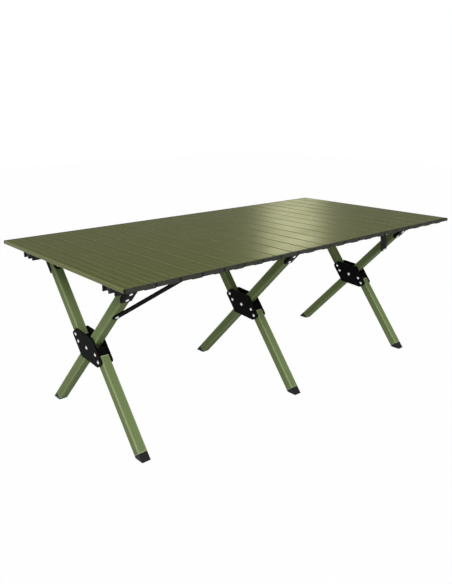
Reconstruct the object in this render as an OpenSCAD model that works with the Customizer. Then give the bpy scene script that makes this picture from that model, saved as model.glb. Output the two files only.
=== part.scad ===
// Roll top camp table: a top of hinged slats on three X-frames, joined by folding rails.
// Millimetres. The origin is on the floor under the middle of the table, +X along its length.

/* [Table] */
// Length of the top
table_l = 1200; // [900:10:1500]
// Width of the top
table_w = 600; // [520:10:800]
// Height of the top surface
table_h = 450; // [420:5:600]

/* [Slats] */
// Number of slats in the top
slat_n = 20; // [16:1:20]
// Groove between neighbouring slats
slat_gap = 2; // [2:0.1:3]
// Thickness of a slat
slat_t = 8.5; // [8:0.5:14]
// Wall of the slat extrusion
slat_wall = 1.2; // [1:0.1:2]
// Radius of the slat's upper edges
slat_r = 1.5; // [1.5:0.1:2]
// Inner layer of an end cap, with the hinge ear
cap_base = 3.5; // [3:0.5:10]
// Outer layer of an end cap, with the knuckle
cap_face = 2.5; // [2:0.5:6]
// Length of the plug that holds an end cap in its slat
plug_l = 12; // [8:1:30]
// Depth of the slat hinge below the top surface
hinge_depth = 3.5; // [3.4:0.1:4]
// Radius of the hinge ear
ear_r = 3.3; // [2.8:0.1:3.3]
// Radius of the slat hinge pin
slat_pin_r = 1.6; // [1.2:0.1:2]
// Radius of the knuckle that covers a groove
knuckle_r = 15; // [12:0.5:20]
// Open line around a knuckle
knuckle_gap = 1; // [0.4:0.1:1.5]
// Depth of a knuckle below its slat
knuckle_drop = 1.5; // [0:0.1:2]

/* [X-frames] */
// Distance of the end frames from the table's ends
frame_inset = 80; // [60:2:120]
// Distance of the rails from the table's long edges
rail_inset = 100; // [70:2:110]
// Depth of the rail line below the slats
rail_drop = 14; // [14:0.5:20]
// Height of the X-frame's pivot
pivot_z = 219.5; // [200:0.5:230]
// Offset of each half leg from the pivot
half_offset = 29; // [27:0.5:36]
// Width of the square leg tube
tube_w = 25; // [22:0.5:26]
// Wall of the leg tube
tube_wall = 1.5; // [1:0.1:2.5]
// Corner radius of the leg tube
tube_r = 3; // [2.6:0.2:5]
// Height of the leg tube's end above the rail line
tube_top = 4; // [0:0.5:4]
// Length of a foot at its short side
foot_edge = 3; // [2:0.5:8]
// Length of the foot's plug in the tube
foot_plug = 18; // [10:1:30]

/* [Pivot plates] */
// Thickness of a pivot plate
plate_t = 4; // [3:0.5:6]
// Half length of a pivot plate along the half legs
plate_len = 60; // [58:1:70]
// Half width of a pivot plate across the half legs
plate_wide = 43; // [42:0.5:46]
// Length of the plate's straight end
plate_end = 27; // [20:1:32]
// Length left straight on the plate's long side
plate_side = 66; // [62:1:74]
// Corner radius of a pivot plate
plate_r = 6; // [3:0.5:9]
// Radius of the pivot pin
pivot_r = 4; // [3:0.25:5]
// Distance of a half leg's first rivet from the pivot
rivet_near = 30; // [28:0.5:34]
// Distance of a half leg's second rivet from the pivot
rivet_far = 50; // [46:0.5:54]
// Radius of the rivets
rivet_r = 2.5; // [2:0.25:3]
// Radius of the rivet heads
head_r = 4.5; // [4:0.25:6]
// Height of the rivet heads
head_h = 1.5; // [1:0.25:3]
// Distance of a half leg's inner end from the pivot
block_start = 18; // [17:0.5:20]
// Length of the black block on a half leg's inner end
block_l = 22; // [18:0.5:24]

/* [Brackets] */
// Thickness of the bracket's sheet
bracket_t = 1.5; // [1.5:0.25:3]
// Length of the bracket down the leg
bracket_l = 58; // [54:1:80]
// Depth of the bracket's side flanges
flange_d = 10; // [6:0.5:12]
// Length of the bracket's deep head
head_l = 18; // [12:0.5:22]
// Width of the bracket's tab on the leg's inner side
tab_w = 20; // [16:0.5:22]
// Distance of the bracket's upper rivet from the rail line
bracket_rivet_a = 26; // [24:1:40]
// Distance of the bracket's lower rivet from the rail line
bracket_rivet_b = 50; // [42:1:60]
// Height of an ear above and below its pin
ear_half = 7.5; // [6:0.25:7.5]
// Reach of an ear past its pin
ear_reach = 8; // [6:0.5:10]
// Distance of the rail pin from the middle of the leg
rail_pin_x = 26; // [26:0.5:30]
// Radius of the rail pins
rail_pin_r = 2.5; // [2:0.25:3.5]

/* [Rails] */
// Height of a rail
rail_h = 18; // [14:0.5:18]
// Thickness of a rail
rail_t = 8; // [5:0.5:8]
// Gap between the two rails of a bay where they lap
rail_lap = 1; // [0.6:0.1:1.4]
// Radius of the stud that a brace hooks on
stud_r = 3; // [2:0.25:4]

/* [Braces] */
// Distance of the brace's rivet from the rail line
brace_z = 122; // [100:1:130]
// Reach of the brace along the rail
brace_x = 137; // [100:1:150]
// Width of a brace
brace_w = 20; // [8:0.5:24]
// Thickness of a brace
brace_t = 3; // [2:0.25:4]

/* [Ribbed blocks] */
// Width of a ribbed block across the rail
block_w = 52; // [44:1:62]
// Length of a ribbed block along the rail
block_x = 38; // [30:1:50]
// Distance of a ribbed block from its bracket
block_gap = 7; // [2:0.5:8]
// Thickness of the block's top plate
block_top = 6; // [4:0.5:7]
// Depth of the ribs below the rail line
rib_drop = 12.5; // [9:0.5:14]
// Width of a rib
rib_w = 3; // [2:0.5:6]
// Radius of the stub that carries the block
stub_r = 5; // [4:0.25:6]
// Wall of the block's boss around the stub
boss_wall = 3; // [2.75:0.25:4]
// Closed outer end of the block's bore
block_end = 4; // [2:0.5:6]

/* [Fits] */
// Clearance between pieces that move past each other
clear = 0.3; // [0.2:0.05:0.4]
// Radial clearance of a pin in its bore
run = 0.05; // [0.02:0.01:0.1]
// Gap left between pieces that sit against each other
seat = 0.1; // [0.05:0.05:0.2]

/* [Hidden] */
$fn = 48;
// How far a cutting solid runs past what it cuts
past = 1;
slat_green = "#61653f";
leg_green = "#6d7d50";
plastic_black = "#26262a";
cap_grey = "#3c3c39";

slat_pitch = (table_l + slat_gap) / slat_n;
slat_w = slat_pitch - slat_gap;
slat_body = table_w - 2 * (cap_base + cap_face);
cell_w = (slat_w - 4 * slat_wall) / 3;
cell_h = slat_t - 2 * slat_wall;
hinge_z = table_h - hinge_depth;
under_z = table_h - slat_t;
rail_z = under_z - rail_drop;
rail_y = table_w / 2 - rail_inset;
frame_pitch = table_l / 2 - frame_inset;

// The rails and the pivot make an isosceles triangle, so the closing top stays level.
pivot_reach = sqrt(pow(rail_y, 2) + pow(rail_z - pivot_z, 2));
half_reach = sqrt(pow(pivot_reach, 2) - pow(half_offset, 2));
lean_a = atan2(rail_z - pivot_z, rail_y);
lean_b = lean_a + asin(half_offset / pivot_reach);

half_tube = tube_w / 2;
tube_bore = tube_w - 2 * tube_wall;
plate_in = half_tube + clear;
plate_out = plate_in + plate_t;
bracket_in = half_tube + seat;
bracket_out = bracket_in + bracket_t;
ear_t = bracket_t;
rail_in = rail_lap / 2;
rail_out = rail_in + rail_t;
ear_gap = 0.5;
brace_in = half_tube + clear;
brace_out = brace_in + brace_t;
stud_end = brace_in - clear;
stub_l = block_gap + block_x - block_end - clear;
tab_top = 2;
bay_half = frame_pitch / 2 - rail_pin_x;
brace_lean = atan2(brace_z, brace_x);
brace_l = sqrt(pow(brace_x, 2) + pow(brace_z, 2));
pad = function (n) str(n < 10 ? "0" : "", n);

FRAMES = ["left", "middle", "right"];
ENDS = ["left", "right"];

function frame_x(f) = f == "left" ? -frame_pitch : f == "right" ? frame_pitch : 0;
function side_of(e) = e == "left" ? -1 : 1;

// Points of a polygon with its corners rounded to one radius
function corner_arc(a, b, c, r, steps = 6) =
    let (
        u = (a - b) / norm(a - b),
        v = (c - b) / norm(c - b),
        half = acos(u * v) / 2,
        mid = b + (u + v) / norm(u + v) * r / sin(half),
        start = b + u * r / tan(half) - mid,
        stop = b + v * r / tan(half) - mid,
        from = atan2(start[1], start[0]),
        turn = atan2(stop[1], stop[0]) - from,
        sweep = turn > 180 ? turn - 360 : turn < -180 ? turn + 360 : turn
    )
    [for (i = [0:steps]) mid + r * [cos(from + sweep * i / steps), sin(from + sweep * i / steps)]];
function rounded_points(p, r) =
    let (n = len(p))
    [for (i = [0:n - 1]) each corner_arc(p[(i + n - 1) % n], p[i], p[(i + 1) % n], r)];

// Shared shapes

module rounded_square(w, r) {
    square([w - 2 * r, w], center = true);
    square([w, w - 2 * r], center = true);
    for (sx = [-1, 1], sy = [-1, 1])
        translate([sx * (w / 2 - r), sy * (w / 2 - r)])
            circle(r);
}

module tube(low, high) {
    translate([0, 0, low])
        linear_extrude(high - low)
            difference() {
                rounded_square(tube_w, tube_r);
                rounded_square(tube_bore, tube_r - tube_wall);
            }
}

// A cylinder along X, from one x to another
module along_x(r, from, to) {
    translate([from, 0, 0])
        rotate([0, 90, 0])
            cylinder(r = r, h = to - from);
}

// A cylinder along Y, from one y to another
module along_y(r, from, to) {
    translate([0, to, 0])
        rotate([90, 0, 0])
            cylinder(r = r, h = to - from);
}

// Leg frames: X stays, Z runs up the leg, -Y is the leg's outer side, the origin is on the rail line.
module on_front_leg() {
    translate([0, -rail_y, rail_z])
        rotate([90 - lean_a, 0, 0])
            children();
}

module on_back_leg() {
    mirror([0, 1, 0])
        translate([0, -rail_y, rail_z])
            rotate([90 - lean_b, 0, 0])
                children();
}

// Where the leg's middle line, offset inwards, meets the floor
function floor_at(lean, inward) = -(rail_z + inward * cos(lean)) / sin(lean);
function foot_top(lean, inward) = floor_at(lean, inward) + half_tube / tan(lean) + foot_edge;

// Slats

module slat_outline(w) {
    translate([0, -slat_t])
        square([w, slat_t - slat_r]);
    translate([slat_r, -slat_r])
        square([w - 2 * slat_r, slat_r]);
    for (x = [slat_r, w - slat_r])
        translate([x, -slat_r])
            circle(slat_r);
}

// Lays an outline of x and height along Y, from one y to another
module across(from, to) {
    translate([0, to, table_h])
        rotate([90, 0, 0])
            linear_extrude(to - from)
                children();
}

module slat_extrusion(x) {
    across(-slat_body / 2, slat_body / 2)
        translate([x, 0])
            difference() {
                slat_outline(slat_w);
                for (i = [0:2])
                    translate([slat_wall + i * (cell_w + slat_wall), slat_wall - slat_t])
                        square([cell_w, cell_h]);
            }
}

// Cap at the +Y end; first and last say where the row of slats ends
module slat_cap(x, first, last) {
    left = x - slat_gap / 2;
    right = left + slat_pitch;
    base_in = slat_body / 2 + seat;
    base_out = base_in + cap_base - seat;
    difference() {
        union() {
            across(base_in, base_out)
                difference() {
                    translate([x, 0])
                        slat_outline(slat_w);
                    if (!last)
                        translate([right, -hinge_depth])
                            circle(ear_r + clear);
                }
            if (!first)
                across(base_in, base_out) {
                    translate([left, -hinge_depth])
                        circle(ear_r);
                    translate([left, -hinge_depth - ear_r])
                        square([slat_gap / 2 + slat_r, 2 * ear_r - slat_r]);
                }
        }
        if (!first)
            translate([left, 0, hinge_z])
                along_y(slat_pin_r + run, base_in - past, base_out + past);
    }
    across(base_out, table_w / 2)
        difference() {
            translate([x, 0])
                slat_outline(slat_w);
            if (!first)
                translate([left, -hinge_depth])
                    circle(knuckle_r + knuckle_gap);
        }
    if (!last) {
        across(base_out + clear, table_w / 2)
            intersection() {
                translate([right, -hinge_depth])
                    circle(knuckle_r);
                translate([right - knuckle_r, -slat_t - knuckle_drop])
                    square([2 * knuckle_r, slat_t + knuckle_drop]);
            }
        translate([right, 0, hinge_z])
            along_y(slat_pin_r, base_in + seat, table_w / 2 - past);
    }
    translate([
        x + 2 * slat_wall + cell_w + clear,
        slat_body / 2 - plug_l,
        under_z + slat_wall + clear
    ])
        cube([cell_w - 2 * clear, plug_l + cap_base / 2, cell_h - 2 * clear]);
}

module slat(k) {
    x = -table_l / 2 + (k - 1) * slat_pitch;
    color(slat_green)
        slat_extrusion(x);
    color(cap_grey)
        for (m = [0, 1])
            mirror([0, m, 0])
                slat_cap(x, k == 1, k == slat_n);
}

// Legs and feet

module front_leg(f) {
    color(leg_green)
        translate([frame_x(f), 0, 0])
            on_front_leg()
                difference() {
                    tube(foot_top(lean_a, 0), tube_top);
                    translate([0, 0, -pivot_reach])
                        along_x(pivot_r + run, -tube_w, tube_w);
                    bracket_bores();
                    if (f != "middle")
                        translate([0, 0, -brace_z])
                            along_y(rivet_r + run, -tube_w, 0);
                }
}

// Bores for a bracket's rivets: the upper one goes through the outer wall, the lower one right through
module bracket_bores() {
    translate([0, 0, -bracket_rivet_a])
        along_y(rivet_r + run, -tube_w, 0);
    translate([0, 0, -bracket_rivet_b])
        along_y(rivet_r + run, -tube_w, tube_w);
}

module back_leg_upper(f) {
    color(leg_green)
        translate([frame_x(f), 0, 0])
            on_back_leg()
                difference() {
                    tube(-half_reach + block_start + block_l + seat, tube_top);
                    plate_bore(-half_reach + rivet_far);
                    bracket_bores();
                }
}

module back_leg_lower(f) {
    color(leg_green)
        translate([frame_x(f), 0, 0])
            on_back_leg()
                translate([0, 2 * half_offset, 0])
                    difference() {
                        tube(
                            foot_top(lean_b, 2 * half_offset),
                            -half_reach - block_start - block_l - seat
                        );
                        plate_bore(-half_reach - rivet_far);
                    }
}

module plate_bore(z) {
    translate([0, 0, z])
        along_x(rivet_r + run, -tube_w, tube_w);
}

// Foot with a level sole and a plug that sits in the tube
module foot(lean, inward) {
    top = foot_top(lean, inward);
    floor_z = floor_at(lean, inward);
    low = floor_z - tube_w / tan(lean);
    plug_w = tube_bore - 2 * seat;
    translate([0, inward, 0]) {
        difference() {
            translate([0, 0, low])
                linear_extrude(top - seat - low)
                    rounded_square(tube_w, tube_r);
            translate([0, 0, floor_z])
                rotate([lean - 90, 0, 0])
                    translate([-tube_w, -2 * tube_w, -2 * tube_w])
                        cube([2 * tube_w, 4 * tube_w, 2 * tube_w]);
        }
        translate([0, 0, top - foot_edge])
            linear_extrude(foot_edge + foot_plug)
                rounded_square(plug_w, tube_r - tube_wall);
    }
}

module front_leg_foot(f) {
    color(plastic_black)
        translate([frame_x(f), 0, 0])
            on_front_leg()
                foot(lean_a, 0);
}

module back_leg_foot(f) {
    color(plastic_black)
        translate([frame_x(f), 0, 0])
            on_back_leg()
                foot(lean_b, 2 * half_offset);
}

// Brackets on the leg tops

// Rivet along Y with its head on an outer face, through to an inner end
module leg_rivet(face, end) {
    along_y(rivet_r, -face - head_h / 2, end);
    translate([0, -face, 0])
        rivet_head();
}

module bracket_rivets() {
    face = bracket_out + seat;
    translate([0, 0, -bracket_rivet_a])
        leg_rivet(face, -half_tube + tube_wall + seat);
    translate([0, 0, -bracket_rivet_b]) {
        leg_rivet(face, face + head_h / 2);
        translate([0, face, 0])
            mirror([0, 1, 0])
                rivet_head();
    }
}

// Low domed head that points along -Y
module rivet_head() {
    rotate([90, 0, 0])
        rotate_extrude()
            intersection() {
                translate([0, -dome_drop()])
                    circle(dome_r());
                square([head_r, head_h]);
            }
}

function dome_r() = (pow(head_r, 2) + pow(head_h, 2)) / (2 * head_h);
function dome_drop() = dome_r() - head_h;

// The two ears that hold a rail's pin; low and high are the rail's faces
module ears(side, low, high) {
    for (y = [low - ear_gap - ear_t, high + ear_gap])
        difference() {
            translate([side > 0 ? bracket_in : -rail_pin_x - ear_reach, y, -ear_half])
                cube([rail_pin_x + ear_reach - bracket_in, ear_t, 2 * ear_half]);
            translate([side * rail_pin_x, 0, 0])
                along_y(rail_pin_r + run, y - past, y + ear_t + past);
        }
}

// Pin through both ears, with a flat head on each end
module rail_pin(side, low, high) {
    from = low - ear_gap - ear_t - seat;
    to = high + ear_gap + ear_t + seat;
    translate([side * rail_pin_x, 0, 0]) {
        along_y(rail_pin_r, from - seat, to + seat);
        along_y(rail_pin_r + 1, from - seat - 1, from);
        along_y(rail_pin_r + 1, to, to + seat + 1);
    }
}

// Faces of a rail in the leg's own frame: outer rails lie on the outer side, inner rails on the inner
function rail_low(outer) = outer ? -rail_out : rail_in;
function rail_high(outer) = outer ? -rail_in : rail_out;

// Side flange with a rounded lower corner, drawn as y and z
module flange_outline() {
    translate([-bracket_out, flange_d - bracket_l]) {
        square([flange_d, bracket_l - flange_d]);
        intersection() {
            circle(flange_d);
            translate([0, -flange_d])
                square(flange_d);
        }
    }
}

// Tab with a round lower end, drawn as x and z
module tab_outline() {
    translate([-bracket_out, -head_l])
        square([2 * bracket_out, head_l + tab_top]);
    translate([-tab_w / 2, -bracket_rivet_b])
        square([tab_w, bracket_rivet_b - head_l / 2]);
    translate([0, -bracket_rivet_b])
        circle(tab_w / 2);
}

// Sheet around the leg's outer side, with a deep head that holds the inner tab
module bracket_sheet() {
    deep = rail_out + ear_gap + ear_t;
    translate([-bracket_out, -bracket_out, -bracket_l])
        cube([2 * bracket_out, bracket_t, bracket_l + tube_top]);
    for (s = [0, 1])
        mirror([s, 0, 0]) {
            translate([bracket_in, 0, 0])
                rotate([90, 0, 90])
                    linear_extrude(bracket_t)
                        flange_outline();
            translate([bracket_in, -bracket_out, -head_l]) {
                cube([bracket_t, bracket_out + deep, head_l + ear_half]);
                cube([bracket_t, 2 * bracket_out, head_l + tab_top]);
            }
        }
    translate([0, bracket_out, 0])
        rotate([90, 0, 0])
            linear_extrude(bracket_t)
                tab_outline();
}

module bracket(f) {
    outer = f != "middle";
    rail_sides = f == "left" ? [1] : f == "right" ? [-1] : [-1, 1];
    difference() {
        bracket_sheet();
        bracket_bores();
    }
    for (s = rail_sides) {
        ears(s, rail_low(outer), rail_high(outer));
        rail_pin(s, rail_low(outer), rail_high(outer));
    }
    if (outer)
        mirror([f == "left" ? 1 : 0, 0, 0])
            along_x(stub_r, bracket_out + seat, bracket_out + stub_l);
    bracket_rivets();
}

module front_bracket(f) {
    color(plastic_black)
        translate([frame_x(f), 0, 0])
            on_front_leg()
                bracket(f);
}

module back_bracket(f) {
    color(plastic_black)
        translate([frame_x(f), 0, 0])
            on_back_leg()
                bracket(f);
}

// Pivot plates with the half legs' end blocks and all five rivets

plate_points = [
    [-plate_wide, plate_len],
    [-plate_wide + plate_end, plate_len],
    [plate_wide, -plate_len + plate_side],
    [plate_wide, -plate_len],
    [plate_wide - plate_end, -plate_len],
    [-plate_wide, plate_len - plate_side]
];
rivet_spots = [
    [-half_offset, rivet_near],
    [-half_offset, rivet_far],
    [half_offset, -rivet_near],
    [half_offset, -rivet_far]
];

module pivot_plate() {
    difference() {
        translate([plate_in, 0, 0])
            rotate([90, 0, 90])
                linear_extrude(plate_t)
                    polygon(rounded_points(plate_points, plate_r));
        along_x(pivot_r + run, 0, tube_w);
        for (p = rivet_spots)
            translate([0, p[0], p[1]])
                along_x(rivet_r + run, 0, tube_w);
    }
}

// Rivet along X through both plates, with a head on each side
module plate_rivet(r) {
    face = plate_out + seat;
    along_x(r, -face - head_h / 2, face + head_h / 2);
    for (s = [0, 1])
        mirror([s, 0, 0])
            translate([face, 0, 0])
                rotate([0, 0, 90])
                    rivet_head();
}

// Black block that fills the gap between the half leg's tube and the pivot
module end_block() {
    plug_w = tube_bore - 2 * seat;
    plug = rivet_far - rivet_r - run - seat - block_start - block_l;
    difference() {
        union() {
            translate([0, 0, block_start])
                linear_extrude(block_l)
                    rounded_square(tube_w, tube_r);
            translate([0, 0, block_start])
                linear_extrude(block_l + plug)
                    rounded_square(plug_w, tube_r - tube_wall);
        }
        translate([0, 0, rivet_near])
            along_x(rivet_r + run, -tube_w, tube_w);
    }
}

module pivot_plates(f) {
    color(plastic_black)
        translate([frame_x(f), 0, 0])
            on_back_leg()
                translate([0, half_offset, -half_reach]) {
                    for (s = [0, 1])
                        mirror([s, 0, 0])
                            pivot_plate();
                    for (turn = [0, 180])
                        rotate([turn, 0, 0])
                            translate([0, -half_offset, 0])
                                end_block();
                    plate_rivet(pivot_r);
                    for (p = rivet_spots)
                        translate([0, p[0], p[1]])
                            plate_rivet(rivet_r);
                }
}

// Rails

// Flat bar with round ends along X, from its frame pin to the middle of the bay
module rail_bar(outer) {
    low = rail_low(outer);
    high = rail_high(outer);
    translate([0, low, -rail_h / 2])
        cube([bay_half, rail_t, rail_h]);
    for (x = [0, bay_half])
        translate([x, 0, 0])
            along_y(rail_h / 2, low, high);
}

// The outer rail carries the middle pin
module rail_outer() {
    difference() {
        rail_bar(true);
        along_y(rail_pin_r + run, -tube_w, tube_w);
    }
    translate([bay_half, 0, 0]) {
        along_y(rail_pin_r, -rail_in - past, rail_out + seat + 1);
        along_y(rail_pin_r + 1, rail_out + seat, rail_out + seat + 1);
    }
}

// Stud that a front rail's brace hooks on
module brace_stud() {
    translate([brace_x - rail_pin_x, 0, 0])
        along_y(stud_r, -stud_end, -rail_in - past);
}

module rail_inner() {
    difference() {
        rail_bar(false);
        for (x = [0, bay_half])
            translate([x, 0, 0])
                along_y(rail_pin_r + run, -tube_w, tube_w);
    }
}

// Sets an outer rail from its end frame towards the middle
module outer_rail_place(e) {
    mirror([e == "right" ? 1 : 0, 0, 0])
        translate([-frame_pitch + rail_pin_x, 0, 0])
            children();
}

// Sets an inner rail from the middle frame towards its end frame
module inner_rail_place(e) {
    mirror([e == "left" ? 1 : 0, 0, 0])
        translate([rail_pin_x, 0, 0])
            children();
}

module front_rail_outer(e) {
    color(plastic_black)
        on_front_leg()
            outer_rail_place(e) {
                rail_outer();
                brace_stud();
            }
}

module front_rail_inner(e) {
    color(plastic_black)
        on_front_leg()
            inner_rail_place(e)
                rail_inner();
}

module back_rail_outer(e) {
    color(plastic_black)
        on_back_leg()
            outer_rail_place(e)
                rail_outer();
}

module back_rail_inner(e) {
    color(plastic_black)
        on_back_leg()
            inner_rail_place(e)
                rail_inner();
}

// Braces

// Flat bar with round ends from its rivet on the leg up to the rail's stud
module brace() {
    translate([0, 0, -brace_z]) {
        difference() {
            rotate([0, -brace_lean, 0]) {
                translate([0, -brace_out, -brace_w / 2])
                    cube([brace_l, brace_t, brace_w]);
                for (x = [0, brace_l])
                    translate([x, 0, 0])
                        along_y(brace_w / 2, -brace_out, -brace_in);
            }
            along_y(rivet_r + run, -tube_w, 0);
        }
        leg_rivet(brace_out + seat, -half_tube + tube_wall + seat);
    }
}

module brace_place(e) {
    mirror([e == "right" ? 1 : 0, 0, 0])
        translate([-frame_pitch, 0, 0])
            children();
}

module front_brace(e) {
    color(plastic_black)
        on_front_leg()
            brace_place(e)
                brace();
}

// Ribbed blocks that carry the end slats on the brackets' stubs

module ribbed_block(e) {
    top = rail_drop - clear;
    rib_pitch = (block_w - rib_w) / 2;
    mirror([e == "right" ? 1 : 0, 0, 0])
        translate([-frame_pitch - bracket_out - block_gap - block_x, -rail_y, rail_z])
            difference() {
                union() {
                    translate([0, -block_w / 2, top - block_top])
                        cube([block_x, block_w, block_top]);
                    for (i = [-1:1])
                        translate([0, i * rib_pitch - rib_w / 2, -rib_drop])
                            cube([block_x, rib_w, rib_drop + top - block_top / 2]);
                    along_x(stub_r + boss_wall, 0, block_x);
                }
                along_x(stub_r + run, block_end, block_x + past);
            }
}

module front_block(e) {
    color(plastic_black)
        ribbed_block(e);
}

module back_block(e) {
    color(plastic_black)
        mirror([0, 1, 0])
            ribbed_block(e);
}

for (k = [1:slat_n])
    slat(k);
for (f = FRAMES) {
    front_leg(f);
    front_leg_foot(f);
    front_bracket(f);
    back_leg_upper(f);
    back_leg_lower(f);
    back_leg_foot(f);
    back_bracket(f);
    pivot_plates(f);
}
for (e = ENDS) {
    front_rail_outer(e);
    front_rail_inner(e);
    back_rail_outer(e);
    back_rail_inner(e);
    front_brace(e);
    front_block(e);
    back_block(e);
}
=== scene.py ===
# %% [markdown]
# # A roll top camp table
# The top is a row of coated aluminium slats that roll up like a blind. Three X-frames of square tube carry
# it, and folding rails join the frames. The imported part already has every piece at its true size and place,
# so this lesson gives each piece its finish, lights the table and sets the camera.

import math

import bpy
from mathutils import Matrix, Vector


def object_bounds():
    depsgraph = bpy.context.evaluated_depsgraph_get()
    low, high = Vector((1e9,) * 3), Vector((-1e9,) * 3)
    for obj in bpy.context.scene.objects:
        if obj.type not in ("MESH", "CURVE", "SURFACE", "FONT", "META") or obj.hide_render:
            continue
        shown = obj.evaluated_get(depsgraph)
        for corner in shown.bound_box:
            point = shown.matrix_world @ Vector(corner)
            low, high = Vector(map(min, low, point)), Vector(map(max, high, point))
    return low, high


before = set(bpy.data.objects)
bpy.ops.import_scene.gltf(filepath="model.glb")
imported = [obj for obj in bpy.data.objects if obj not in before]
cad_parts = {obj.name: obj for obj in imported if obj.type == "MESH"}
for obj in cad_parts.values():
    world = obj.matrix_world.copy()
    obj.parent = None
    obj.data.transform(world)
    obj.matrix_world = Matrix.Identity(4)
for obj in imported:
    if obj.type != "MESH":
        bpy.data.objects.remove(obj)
cad_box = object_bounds()
MM = 0.001

# %% [markdown]
# ## Colours and nodes
# A colour picked from a picture is an sRGB value, and a shader wants linear light. One function turns the
# hex value into linear numbers, so every colour below can be read and compared by eye. A second small
# function adds a shader node with its settings and links, which keeps each material short.

# %% Helpers for colours and shader nodes
def linear(hex_colour):
    """A hex colour such as #606443 as linear red, green, blue and alpha."""
    parts = [int(hex_colour[i:i + 2], 16) / 255 for i in (1, 3, 5)]
    return [c / 12.92 if c <= 0.04045 else ((c + 0.055) / 1.055) ** 2.4 for c in parts] + [1.0]


def add_node(tree, kind, sockets, **settings):
    """Adds a node. A socket's value is either set or, where it is another node's output, linked."""
    made = tree.nodes.new(kind)
    for name, value in settings.items():
        setattr(made, name, value)
    for name, value in sockets.items():
        if isinstance(value, bpy.types.NodeSocket):
            tree.links.new(value, made.inputs[name])
        else:
            made.inputs[name].default_value = value
    return made


def start_material(name):
    """An empty material, its node tree and its output node."""
    material = bpy.data.materials.new(name)
    material.use_nodes = True
    tree = material.node_tree
    tree.nodes.clear()
    return material, tree, tree.nodes.new("ShaderNodeOutputMaterial")


def end_material(tree, output, sockets):
    """Ends the material in a Principled shader with these settings."""
    shader = add_node(tree, "ShaderNodeBsdfPrincipled", sockets)
    tree.links.new(shader.outputs["BSDF"], output.inputs["Surface"])


print("olive in linear light:", [round(c, 3) for c in linear("#606443")])

# %% [markdown]
# ## Patterns and masks
# A few small groups of nodes come up in most finishes, so each has a function. Noise makes a pattern of a
# real size in millimetres, which varies a colour or a roughness. A ramp turns a measure into a mask from 0
# to 1. A bevel node gives the normal that a rounded edge would have, and a bump node tilts the normal along
# a pattern, which shows fine relief without any extra faces.

# %% Helpers for patterns and masks
NOISE_LOW, NOISE_HIGH = 0.3, 0.7     # most values of a noise texture lie between these
BEVEL_SAMPLES = 4


def piece_place(tree):
    """The point in the piece's own coordinates, so that a pattern moves with its piece."""
    return add_node(tree, "ShaderNodeTexCoord", {}).outputs["Object"]


def stretched(tree, place, stretch):
    """The point, drawn in so that a pattern comes out this many times longer along X, Y and Z."""
    scale = [1 / s for s in stretch]
    return add_node(tree, "ShaderNodeMapping", {"Vector": place, "Scale": scale}).outputs["Vector"]


def per_metre(size_mm):
    """The texture scale at which one feature is this many millimetres wide."""
    return 1 / (size_mm * MM)


def noise(tree, place, size_mm, **sockets):
    """Noise whose features are this many millimetres wide."""
    return add_node(tree, "ShaderNodeTexNoise", {
        "Vector": place, "Scale": per_metre(size_mm), **sockets}).outputs["Fac"]


def mix(tree, share, first, second):
    """A colour between two, each a hex value or a node's output; a share of 0 is the first."""
    first, second = [linear(c) if isinstance(c, str) else c for c in (first, second)]
    mixed = add_node(tree, "ShaderNodeMix", {"Factor": share, "A": first, "B": second}, data_type="RGBA")
    return mixed.outputs[2]          # outputs 0 and 1 are for numbers and vectors


def vary(tree, pattern, middle, spread):
    """A number that follows the noise, up to spread to either side of the middle."""
    return add_node(tree, "ShaderNodeMapRange", {
        "Value": pattern, "From Min": NOISE_LOW, "From Max": NOISE_HIGH,
        "To Min": middle - spread, "To Max": middle + spread}).outputs["Result"]


def ramp(tree, value, start, end):
    """A mask that goes from 0 to 1 as the value goes from start to end."""
    return add_node(tree, "ShaderNodeMapRange", {
        "Value": value, "From Min": start, "From Max": end}).outputs["Result"]


def rounded(tree, radius_mm):
    """The normal that the surface would have with its edges rounded."""
    bevel = add_node(tree, "ShaderNodeBevel", {"Radius": radius_mm * MM}, samples=BEVEL_SAMPLES)
    return bevel.outputs["Normal"]


def bumped(tree, pattern, strength, depth_mm, **sockets):
    """The normal of a surface that rises and falls with the pattern."""
    return add_node(tree, "ShaderNodeBump", {
        "Height": pattern, "Strength": strength, "Distance": depth_mm * MM, **sockets}).outputs["Normal"]


print("scale of a pattern of 3 mm:", round(per_metre(3), 1), "per metre")

# %% [markdown]
# ## Powder-coated aluminium
# The slats and the legs are aluminium extrusions with a baked powder coat. The powder melts into a film that
# is slightly wavy, like the skin of an orange, so highlights are broad and soft. The extrusion's drawing
# lines still show through a little, as faint streaks along its length. A dielectric shader of medium
# roughness gives the film, a noise texture the waves, and a second noise, stretched along the piece, the
# streaks.
#
# Along each edge the coat is painted lighter, as a painted highlight, and made more matt. A bevel node
# turns the normal near an edge, and how far it turns tells where the edge is. The grooves are painted dark
# as painted shade where the ambient occlusion node finds them.

# %% Powder coat
PEEL_MM = 2.4              # real waves are about 1 mm, drawn coarser so that they show
PEEL_DEPTH_MM = 0.1
PEEL_STRENGTH = 0.12
STREAK_MM = 3.0            # spacing of the drawing lines
CLOUD_MM = 90.0            # slow change in the film's gloss
CLOUD_SPREAD = 0.03        # how far that changes the roughness
HIGHLIGHT_MM = 5.0              # width of the painted highlight along an edge
EDGE_RAMP = (0.995, 0.93)  # cosine of the normal's turn where the painted highlight begins and is full
EDGE_MATT = 0.75           # roughness along an edge, under the painted highlight
GROOVE_MM = 4.0            # how near another surface has to be to make a groove
OPEN_RAMP = (0.5, 0.9)     # openness at which the painted groove shade is darkest, and at which it ends
OPEN_SAMPLES = 8
COAT_IOR = 1.5


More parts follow.
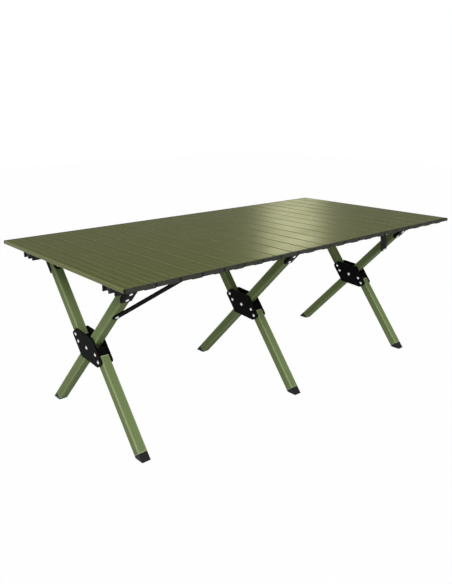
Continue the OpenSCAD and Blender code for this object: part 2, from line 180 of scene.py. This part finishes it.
def powder_coat(name, light, dark, painted_highlight, painted_groove_shade, roughness, specular, stretch):
    """Coated extrusion with a painted edge highlight and painted groove shade; stretch is how much longer
    than wide the streaks are along X, Y and Z.
    """
    material, tree, output = start_material(name)
    place = piece_place(tree)
    streaks = noise(tree, stretched(tree, place, stretch), STREAK_MM, Detail=3.0, Roughness=0.6)
    true_normal = add_node(tree, "ShaderNodeNewGeometry", {}).outputs["Normal"]
    turned = add_node(tree, "ShaderNodeVectorMath", {
        0: rounded(tree, HIGHLIGHT_MM), 1: true_normal}, operation="DOT_PRODUCT")
    near_edge = ramp(tree, turned.outputs["Value"], *EDGE_RAMP)
    # painted highlight: the coat is lightened near every edge
    highlighted = mix(tree, near_edge, mix(tree, streaks, dark, light), painted_highlight)
    openness = add_node(tree, "ShaderNodeAmbientOcclusion", {"Distance": GROOVE_MM * MM},
                        samples=OPEN_SAMPLES)
    # painted shade: the coat is darkened where other surfaces are near, in grooves and gaps
    coat_with_painted_light = mix(tree, ramp(tree, openness.outputs["AO"], *OPEN_RAMP), painted_groove_shade, highlighted)
    gloss = vary(tree, noise(tree, place, CLOUD_MM, Detail=2.0), roughness, CLOUD_SPREAD)
    sheen = add_node(tree, "ShaderNodeMix", {
        "Factor": near_edge, "A": gloss, "B": EDGE_MATT}, data_type="FLOAT")
    peel = noise(tree, place, PEEL_MM, Detail=1.0)
    end_material(tree, output, {
        "Base Color": coat_with_painted_light, "Roughness": sheen.outputs[0],
        "Normal": bumped(tree, peel, PEEL_STRENGTH, PEEL_DEPTH_MM),
        "IOR": COAT_IOR, "Specular IOR Level": specular})
    return material


ALONG_SLAT = (1, 60, 1)    # slats run along Y
ALONG_LEG = (1, 30, 30)    # legs slope in Y and Z
# Each coat's third colour is a painted edge highlight, its fourth a painted groove shade.
slat_coat = powder_coat(
    "powder_coated_aluminium_olive", "#5b5f30", "#535728", "#808356", "#0e0f08", 0.33, 0.2, ALONG_SLAT)
leg_coat = powder_coat(
    "powder_coated_aluminium_green", "#748357", "#6f7d52", "#a5b388", "#2e341e", 0.42, 0.01, ALONG_LEG)
print("coats:", slat_coat.name, leg_coat.name)

# %% [markdown]
# ## Moulded plastics
# The brackets and pivot plates are black nylon, the feet and the ribbed blocks are tough polyethylene, and
# the slats' end caps are dark grey ABS. All come out of a spark-eroded mould, which leaves a fine grain that
# scatters light. Edges of moulded pieces are never quite sharp, so a bevel node rounds the shading at each
# edge and lets it catch the light.
#
# The caps sit close together along the table, and painted shade darkens them where they meet. A wider bevel
# node finds those edges: its normal leans along X, the direction in which one cap follows the next.

# %% Moulded nylon, polyethylene and ABS
GRAIN_MM = 1.2             # spark-erosion grain is about 0.1 mm, drawn coarser so that it shows
GRAIN_DEPTH_MM = 0.15
GRAIN_STRENGTH = 0.25
GRAIN_SPREAD = 0.05        # how far the grain changes the roughness
FLOW_MM = 25.0             # size of the patches left by the plastic's flow
EDGE_MM = 0.7              # moulded edge radius
SEAM_MM = 6.0              # how far the painted shade reaches from the gap between two caps
SEAM_RAMP = (0.06, 0.25)   # lean of the normal at which the painted shade begins and is full
PLASTIC_IOR = 1.53


def paint_shade_beside_gaps(tree, colour, painted_gap_shade):
    """Paints shade: turns the colour into the shade colour towards edges that face along the piece's own X.
    """
    own = add_node(tree, "ShaderNodeVectorTransform", {"Vector": rounded(tree, SEAM_MM)},
                   vector_type="NORMAL", convert_from="WORLD", convert_to="OBJECT")
    lean = add_node(tree, "ShaderNodeSeparateXYZ", {"Vector": own.outputs["Vector"]})
    amount = add_node(tree, "ShaderNodeMath", {0: lean.outputs["X"]}, operation="ABSOLUTE")
    # painted shade: darker towards edges that face the next cap
    return mix(tree, ramp(tree, amount.outputs["Value"], *SEAM_RAMP), colour, painted_gap_shade)


def moulded_plastic(name, light, dark, roughness, specular, painted_gap_shade=None):
    """Plastic with mould grain and softened edges, and painted shade beside its gaps where a shade colour is
    given.
    """
    material, tree, output = start_material(name)
    place = piece_place(tree)
    colour = mix(tree, noise(tree, place, FLOW_MM, Detail=3.0), dark, light)
    if painted_gap_shade:
        colour = paint_shade_beside_gaps(tree, colour, painted_gap_shade)
    grain = noise(tree, place, GRAIN_MM, Detail=2.0)
    end_material(tree, output, {
        "Base Color": colour, "Roughness": vary(tree, grain, roughness, GRAIN_SPREAD),
        "Normal": bumped(tree, grain, GRAIN_STRENGTH, GRAIN_DEPTH_MM, Normal=rounded(tree, EDGE_MM)),
        "IOR": PLASTIC_IOR, "Specular IOR Level": specular})
    return material


nylon = moulded_plastic("moulded_nylon_black", "#121213", "#0d0d0e", 0.5, 0.02)
tough_pe = moulded_plastic("moulded_polyethylene_dark_grey", "#2d2d30", "#252528", 0.5, 0.12)
# The last colour is painted shade beside the gaps between caps.
cap_abs = moulded_plastic("moulded_abs_dark_grey", "#3f403b", "#363732", 0.5, 0.04, "#0c0c0b")
print("plastics:", nylon.name, tough_pe.name, cap_abs.name)

# %% [markdown]
# ## Bare and blackened metal
# The rivets are zinc-plated steel, turned bright by tumbling. The braces are flat steel bars with black
# paint, and the rails are black anodised aluminium with fine brush lines along their length.

# %% Zinc, paint and anodising
PATCH_MM = 2.0             # dull patches in the zinc
ZINC_ROUGHNESS = 0.335
PATCH_SPREAD = 0.085       # how far the patches change the roughness
BRUSH_MM = 1.5             # brush lines are about 0.2 mm, drawn coarser so that they show
BRUSH_DEPTH_MM = 0.05
BRUSH_STRENGTH = 0.15
BRUSH_SPREAD = 0.05        # how far the lines change the roughness
ALONG_BAR = (40, 1, 1)     # rails and braces run mostly along X


def bright_zinc():
    """Tumbled zinc plating: a bright metal with small dull patches."""
    material, tree, output = start_material("zinc_plated_steel")
    patches = noise(tree, piece_place(tree), PATCH_MM, Detail=2.0)
    end_material(tree, output, {
        "Base Color": mix(tree, patches, "#e4e4e2", "#f6f6f4"),
        "Roughness": vary(tree, patches, ZINC_ROUGHNESS, PATCH_SPREAD), "Metallic": 1.0})
    return material


def black_metal(name, light, dark, roughness, metallic, specular):
    """Blackened bar with brush lines along X."""
    material, tree, output = start_material(name)
    brush = noise(tree, stretched(tree, piece_place(tree), ALONG_BAR), BRUSH_MM, Detail=3.0)
    end_material(tree, output, {
        "Base Color": mix(tree, brush, dark, light), "Roughness": vary(tree, brush, roughness, BRUSH_SPREAD),
        "Normal": bumped(tree, brush, BRUSH_STRENGTH, BRUSH_DEPTH_MM, Normal=rounded(tree, EDGE_MM)),
        "Metallic": metallic, "Specular IOR Level": specular})
    return material


zinc = bright_zinc()
brace_paint = black_metal("black_painted_steel", "#0c0c0d", "#080809", 0.5, 0.0, 0.01)
rail_anodising = black_metal("black_anodised_aluminium", "#2c2c2f", "#222225", 0.42, 0.6, 0.5)
print("metals:", zinc.name, brace_paint.name, rail_anodising.name)

# %% [markdown]
# ## Which solid gets which finish
# Some nodes hold several solids: a slat has its extrusion and two caps, and a bracket has its rivets and
# pins. The solids don't touch, so each one is an island of faces. Walking from face to face over shared
# points finds the islands, and an island's size tells a rivet from a plate.

# %% Islands of a node
POINT_DIGITS = 6           # points that agree to a thousandth of a millimetre are one


def extent(island):
    """An island's size along X, Y and Z."""
    return island[2] - island[1]


def islands(piece):
    """Lists the piece's islands as (faces, low corner, high corner), the largest box first."""
    mesh = piece.data
    leader = {}

    def find(key):
        while leader.setdefault(key, key) != key:
            key = leader[key]
        return key

    keys = [tuple(round(c, POINT_DIGITS) for c in v.co) for v in mesh.vertices]
    for face in mesh.polygons:
        first = find(keys[face.vertices[0]])
        for corner in face.vertices[1:]:
            leader[find(keys[corner])] = first
    groups = {}
    for face in mesh.polygons:
        groups.setdefault(find(keys[face.vertices[0]]), []).append(face)
    found = []
    for faces in groups.values():
        points = [mesh.vertices[i].co for face in faces for i in face.vertices]
        low = Vector([min(p[a] for p in points) for a in range(3)])
        high = Vector([max(p[a] for p in points) for a in range(3)])
        found.append((faces, low, high))
    return sorted(found, key=lambda island: -extent(island).length)


def dress(piece, main, other=None, is_other=None):
    """Gives the piece its main finish, and the islands that is_other picks the other one."""
    piece.data.materials.clear()
    piece.data.materials.append(main)
    if other is None:
        return 0
    piece.data.materials.append(other)
    picked = [island for rank, island in enumerate(islands(piece)) if is_other(rank, island)]
    for faces, _, _ in picked:
        for face in faces:
            face.material_index = 1
    return len(picked)


print("islands of slat_01:", len(islands(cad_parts["slat_01"])))

# %% [markdown]
# ## Dressing the nodes
# Each kind of node gets its finish by its name. A cap is an island that is short across the table, a plate's
# rivet is one that is small in Y and Z, and in a bracket or a brace all but the largest island are rivets
# and pins. A bracket's stub, which is long in X, is black like the bracket.

# %% Dress every node
CAP_LENGTH = 40 * MM       # caps are shorter than this along Y
RIVET_ACROSS = 14 * MM     # plate rivets are smaller than this in Y and Z
STUB_LENGTH = 20 * MM      # stubs are at least this long in X
counts = {}
for name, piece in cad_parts.items():
    if name.startswith("slat_"):
        kind = "slat caps"
        found = dress(piece, slat_coat, cap_abs, lambda rank, island: extent(island).y < CAP_LENGTH)
    elif name.startswith("pivot_plates"):
        kind = "plate rivets"
        found = dress(piece, nylon, zinc, lambda rank, island: max(extent(island).yz) < RIVET_ACROSS)
    elif "bracket" in name:
        kind = "bracket rivets and pins"
        found = dress(piece, nylon, zinc, lambda rank, island: rank > 0 and extent(island).x < STUB_LENGTH)
    elif "brace" in name:
        kind = "brace rivets"
        found = dress(piece, brace_paint, zinc, lambda rank, island: rank > 0)
    elif "rail" in name:
        kind = "rails"
        found = dress(piece, rail_anodising)
    elif "foot" in name or "block" in name:
        kind = "feet and blocks"
        found = dress(piece, tough_pe)
    else:
        kind = "legs"
        found = dress(piece, leg_coat)
    counts[kind] = counts.get(kind, 0) + found
print("islands with a second finish:", counts)

# %% [markdown]
# ## Floor
# The table stands on a plain white studio floor. A lit floor would be grey in places, so most of this one
# is plain white to the camera and in reflections. The small rest is matt, and takes a faint shadow under
# the feet.

# %% Floor
WHITE = "#ffffff"
FLOOR_SIZE = 14.0
FLOOR_GLOW = 0.985         # share of the floor that is plain white to the camera; the rest takes the shadow


def seen_rays(tree):
    """The light path node, and a mask of the rays that show a thing: straight, mirrored or through glass."""
    ray = add_node(tree, "ShaderNodeLightPath", {})
    mirrored = add_node(tree, "ShaderNodeMath", {
        0: ray.outputs["Is Camera Ray"], 1: ray.outputs["Is Glossy Ray"]}, operation="MAXIMUM")
    seen = add_node(tree, "ShaderNodeMath", {
        0: mirrored.outputs["Value"], 1: ray.outputs["Is Transmission Ray"]}, operation="MAXIMUM")
    return ray, seen.outputs["Value"]


def white_floor():
    """Pale floor: mostly plain white to the camera, with the rest left to take the shadow."""
    material, tree, output = start_material("white_studio_floor")
    _, seen = seen_rays(tree)
    share = add_node(tree, "ShaderNodeMath", {0: seen, 1: FLOOR_GLOW}, operation="MULTIPLY")
    matt = add_node(tree, "ShaderNodeBsdfDiffuse", {"Color": linear("#b8b8b6")})
    white = add_node(tree, "ShaderNodeEmission", {"Color": linear(WHITE), "Strength": 1.0})
    mixed = add_node(tree, "ShaderNodeMixShader", {
        0: share.outputs["Value"], 1: matt.outputs["BSDF"], 2: white.outputs["Emission"]})
    tree.links.new(mixed.outputs["Shader"], output.inputs["Surface"])
    return material


bpy.ops.mesh.primitive_plane_add(size=FLOOR_SIZE)
floor = bpy.context.object
floor.name = "studio_floor"
floor.data.materials.append(white_floor())
print("floor:", FLOOR_SIZE, "m across")

# %% [markdown]
# ## Fill light and backdrop
# White walls fill the shadows in a studio, and here the world does so with an even light from all round. The
# camera sees it as a white backdrop. Reflections see a backdrop that is white at the horizon and dark higher
# up, as in a studio with a dark ceiling.

# %% World
FILL = 0.7                       # strength of the even light from all round
CEILING_FROM = math.radians(2)   # height above the horizon at which reflections begin to darken
CEILING_FULL = math.radians(10)  # height at which they are as dark as the ceiling
CEILING_LEVEL = 0.08


def studio_world():
    """Even fill light, a plain white backdrop to the camera, and one that darkens upwards to reflections."""
    world = bpy.data.worlds.new("studio_world")
    world.use_nodes = True
    tree = world.node_tree
    tree.nodes.clear()
    output = tree.nodes.new("ShaderNodeOutputWorld")
    ray, seen = seen_rays(tree)
    facing = add_node(tree, "ShaderNodeSeparateXYZ", {
        "Vector": add_node(tree, "ShaderNodeTexCoord", {}).outputs["Generated"]})
    ceiling = add_node(tree, "ShaderNodeMapRange", {
        "Value": facing.outputs["Z"],
        "From Min": math.sin(CEILING_FROM), "From Max": math.sin(CEILING_FULL),
        "To Min": 1.0, "To Max": CEILING_LEVEL}, interpolation_type="SMOOTHSTEP")
    level = add_node(tree, "ShaderNodeMath", {
        0: ray.outputs["Is Camera Ray"], 1: ceiling.outputs["Result"]}, operation="MAXIMUM")
    fill = add_node(tree, "ShaderNodeBackground", {"Color": linear(WHITE), "Strength": FILL})
    backdrop = add_node(tree, "ShaderNodeBackground", {
        "Color": linear(WHITE), "Strength": level.outputs["Value"]})
    mixed = add_node(tree, "ShaderNodeMixShader", {
        0: seen, 1: fill.outputs["Background"], 2: backdrop.outputs["Background"]})
    tree.links.new(mixed.outputs["Shader"], output.inputs["Surface"])
    return world


bpy.context.scene.world = studio_world()
print("fill light:", FILL)

# %% [markdown]
# ## Lamps
# A large soft lamp in front, high and to the left, lights the top and the legs' lower ends. A small one
# stands behind the table, low enough to mirror in the slats, and makes the long soft streak across the top.

# %% Lamps
def soft_lamp(name, place, target, size, power, colour=WHITE):
    """A square lamp that faces its target; the camera doesn't see it."""
    light = bpy.data.lights.new(name, "AREA")
    light.size = size
    light.energy = power
    light.color = linear(colour)[:3]
    lamp = bpy.data.objects.new(name, light)
    bpy.context.scene.collection.objects.link(lamp)
    lamp.location = place
    lamp.rotation_euler = (Vector(target) - Vector(place)).to_track_quat("-Z", "Y").to_euler()
    lamp.visible_camera = False
    return lamp


TABLE_MIDDLE = (0.0, 0.0, 0.3)
KEY_PLACE = (-3.3, -4.1, 4.2)
KEY_SIZE = 3.0
KEY_POWER = 230
STREAK_SPOT = Vector((0.179, -0.026, cad_box[1][2]))   # where the streak on the top is brightest
STREAK_TURN = math.radians(47.5)                       # the lamp's direction from there, +Y towards +X
STREAK_RISE = math.radians(16)                         # the lamp's height, as an angle from there
STREAK_REACH = 3.2
STREAK_SIZE = 0.42
STREAK_POWER = 3.9
to_lamp = Vector((math.cos(STREAK_RISE) * math.sin(STREAK_TURN),
                  math.cos(STREAK_RISE) * math.cos(STREAK_TURN), math.sin(STREAK_RISE)))
key = soft_lamp("key_lamp", KEY_PLACE, TABLE_MIDDLE, KEY_SIZE, KEY_POWER)
key.visible_glossy = False                             # its mirror image would grey the black pieces
soft_lamp("streak_lamp", STREAK_SPOT + STREAK_REACH * to_lamp, STREAK_SPOT,
          STREAK_SIZE, STREAK_POWER, "#ffffcd")
print("lamps: key and streak")

# %% [markdown]
# ## Camera
# The camera's place and lens were found by fitting the table's corners and feet in the picture. It stands at
# the table's left front, a little above the top.

# %% Camera
CAMERA_PLACE = (-1.1749, -1.2543, 0.7860)
CAMERA_TURN = math.radians(41.148)       # from +Y towards +X
CAMERA_DIP = math.radians(17.197)        # below the horizon
IMAGE_WIDTH = 452
FOCAL_PIXELS = 595.05
SENSOR = 36.0
view = bpy.data.cameras.new("photo_view")
view.sensor_fit = "HORIZONTAL"
view.sensor_width = SENSOR
view.lens = FOCAL_PIXELS / IMAGE_WIDTH * SENSOR
camera = bpy.data.objects.new("photo_view", view)
bpy.context.scene.collection.objects.link(camera)
camera.location = CAMERA_PLACE
camera.rotation_euler = (math.pi / 2 - CAMERA_DIP, 0, -CAMERA_TURN)
bpy.context.scene.camera = camera
bpy.context.scene.view_settings.view_transform = "Standard"
print("lens:", round(view.lens, 2), "mm")
